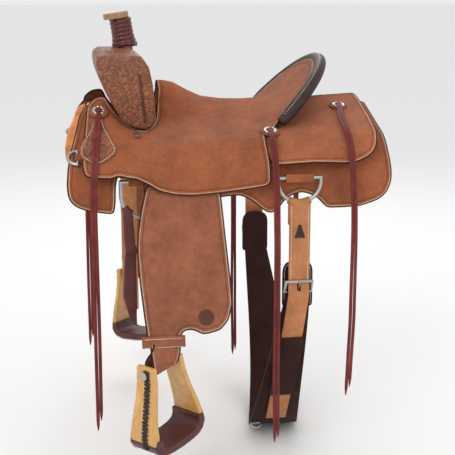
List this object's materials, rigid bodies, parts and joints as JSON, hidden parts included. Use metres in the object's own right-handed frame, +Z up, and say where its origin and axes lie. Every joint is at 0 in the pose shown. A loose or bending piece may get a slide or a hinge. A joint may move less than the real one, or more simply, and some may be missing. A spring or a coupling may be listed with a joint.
{
  "type": "western saddle",
  "caption": "Western roping saddle on its tree: fork with wrapped horn, seat with dished cantle, lined skirts, swinging fenders with wood stirrups, rigging dees and a rear cinch.",
  "frame": {"origin": "on the centre plane, where the ridge line of the horse-back surface under the saddle passes, level with it", "axes": "-X towards the horn and the horse's head, +X towards the rear, -Y the near (left) side, +Y the off side, +Z up"},
  "size_m": [0.6993, 0.8588, 1.0002],
  "materials": {
    "fleece": "matte",
    "roughout": "matte",
    "rear_roughout": "matte",
    "fender_leather": "matte",
    "strap_leather": "satin",
    "tree_wood": "matte",
    "tooled_leather": "satin",
    "rawhide": "satin",
    "wrap_leather": "gloss",
    "binding_leather": "satin",
    "string_leather": "satin",
    "latigo_leather": "satin",
    "billet_leather": "satin",
    "cinch_leather": "satin",
    "satin_steel": "satin",
    "silver": "satin",
    "stirrup_wood": "satin",
    "tread_leather": "satin"
  },
  "bodies": {
    "saddle": {"near_fleece": "fleece", "off_fleece": "fleece", "near_skirt": "roughout", "off_skirt": "roughout", "seat": "roughout", "breast_dee_loops": "roughout", "near_rigging": "roughout", "off_rigging": "roughout", "near_rear_jockey": "rear_roughout", "off_rear_jockey": "rear_roughout", "leather_loops": "strap_leather", "ground_seat": "strap_leather", "near_bar": "tree_wood", "off_bar": "tree_wood", "tree_fork": "tree_wood", "cantle_board": "tree_wood", "fork_cover": "tooled_leather", "near_keeper": "tooled_leather", "off_keeper": "tooled_leather", "rosettes": "tooled_leather", "horn_core": "rawhide", "horn_wrap": "wrap_leather", "cantle_binding": "binding_leather", "near_front_string": "string_leather", "near_mid_string": "string_leather", "near_rear_string": "string_leather", "off_front_string": "string_leather", "off_mid_string": "string_leather", "off_rear_string": "string_leather", "latigo": "latigo_leather", "near_front_dee": "satin_steel", "off_front_dee": "satin_steel", "near_rear_dee": "satin_steel", "off_rear_dee": "satin_steel", "seat_screws": "satin_steel", "conchos": "silver"},
    "near_leg": {"near_fender": "fender_leather", "near_stirrup_leather": "strap_leather", "near_hobble_strap": "fender_leather"},
    "off_leg": {"off_fender": "fender_leather", "off_stirrup_leather": "strap_leather", "off_hobble_strap": "fender_leather"},
    "near_foot": {"near_stirrup": "stirrup_wood", "near_tread": "tread_leather", "near_stirrup_bolt": "satin_steel"},
    "off_foot": {"off_stirrup": "stirrup_wood", "off_tread": "tread_leather", "off_stirrup_bolt": "satin_steel"},
    "near_breast_ring": {"near_breast_dee": "satin_steel"},
    "off_breast_ring": {"off_breast_dee": "satin_steel"},
    "off_cinch_billet": {"off_billet": "billet_leather"},
    "rear_cinch": {"rear_billets": "billet_leather", "flank_cinch": "cinch_leather", "cinch_buckles": "satin_steel", "cinch_keepers": "cinch_leather", "cinch_dee": "satin_steel"},
    "near_buckle_tongue": {"near_tongue": "satin_steel"},
    "off_buckle_tongue": {"off_tongue": "satin_steel"}
  },
  "joints": [
    {"name": "near_fender_swing", "type": "hinge", "parent": "saddle", "child": "near_leg", "pos_m": [-0.174, -0.249, -0.05], "axis": [0, -0.9613, 0.2756], "range_deg": [-15, 15]},
    {"name": "off_fender_swing", "type": "hinge", "parent": "saddle", "child": "off_leg", "pos_m": [-0.174, 0.249, -0.05], "axis": [0, -0.9613, -0.2756], "range_deg": [-15, 15]},
    {"name": "near_stirrup_swivel", "type": "hinge", "parent": "near_leg", "child": "near_foot", "pos_m": [-0.198, -0.364, -0.468], "axis": [0.7359, 0.6626, 0.1392], "range_deg": [-25, 25]},
    {"name": "off_stirrup_swivel", "type": "hinge", "parent": "off_leg", "child": "off_foot", "pos_m": [-0.198, 0.364, -0.468], "axis": [-0.7359, 0.6626, -0.1392], "range_deg": [-25, 25]},
    {"name": "near_breast_ring_flip", "type": "hinge", "parent": "saddle", "child": "near_breast_ring", "pos_m": [-0.352, -0.208, -0.054], "axis": [0, 0.809, 0.5878], "range_deg": [-10, 60]},
    {"name": "off_breast_ring_flip", "type": "hinge", "parent": "saddle", "child": "off_breast_ring", "pos_m": [-0.352, 0.208, -0.054], "axis": [0, 0.809, -0.5878], "range_deg": [-10, 60]},
    {"name": "off_billet_swing", "type": "hinge", "parent": "saddle", "child": "off_cinch_billet", "pos_m": [-0.219, 0.245, -0.131], "axis": [0, -1, 0], "range_deg": [-15, 15]},
    {"name": "rear_cinch_swing", "type": "hinge", "parent": "saddle", "child": "rear_cinch", "pos_m": [0.114, 0, -0.107], "axis": [0, -1, 0], "range_deg": [-20, 20]},
    {"name": "near_tongue_lift", "type": "hinge", "parent": "rear_cinch", "child": "near_buckle_tongue", "pos_m": [0.114, -0.2605, -0.352], "axis": [1, 0, 0], "range_deg": [0, 12]},
    {"name": "off_tongue_lift", "type": "hinge", "parent": "rear_cinch", "child": "off_buckle_tongue", "pos_m": [0.114, 0.2605, -0.352], "axis": [-1, 0, 0], "range_deg": [0, 12]}
  ]
}
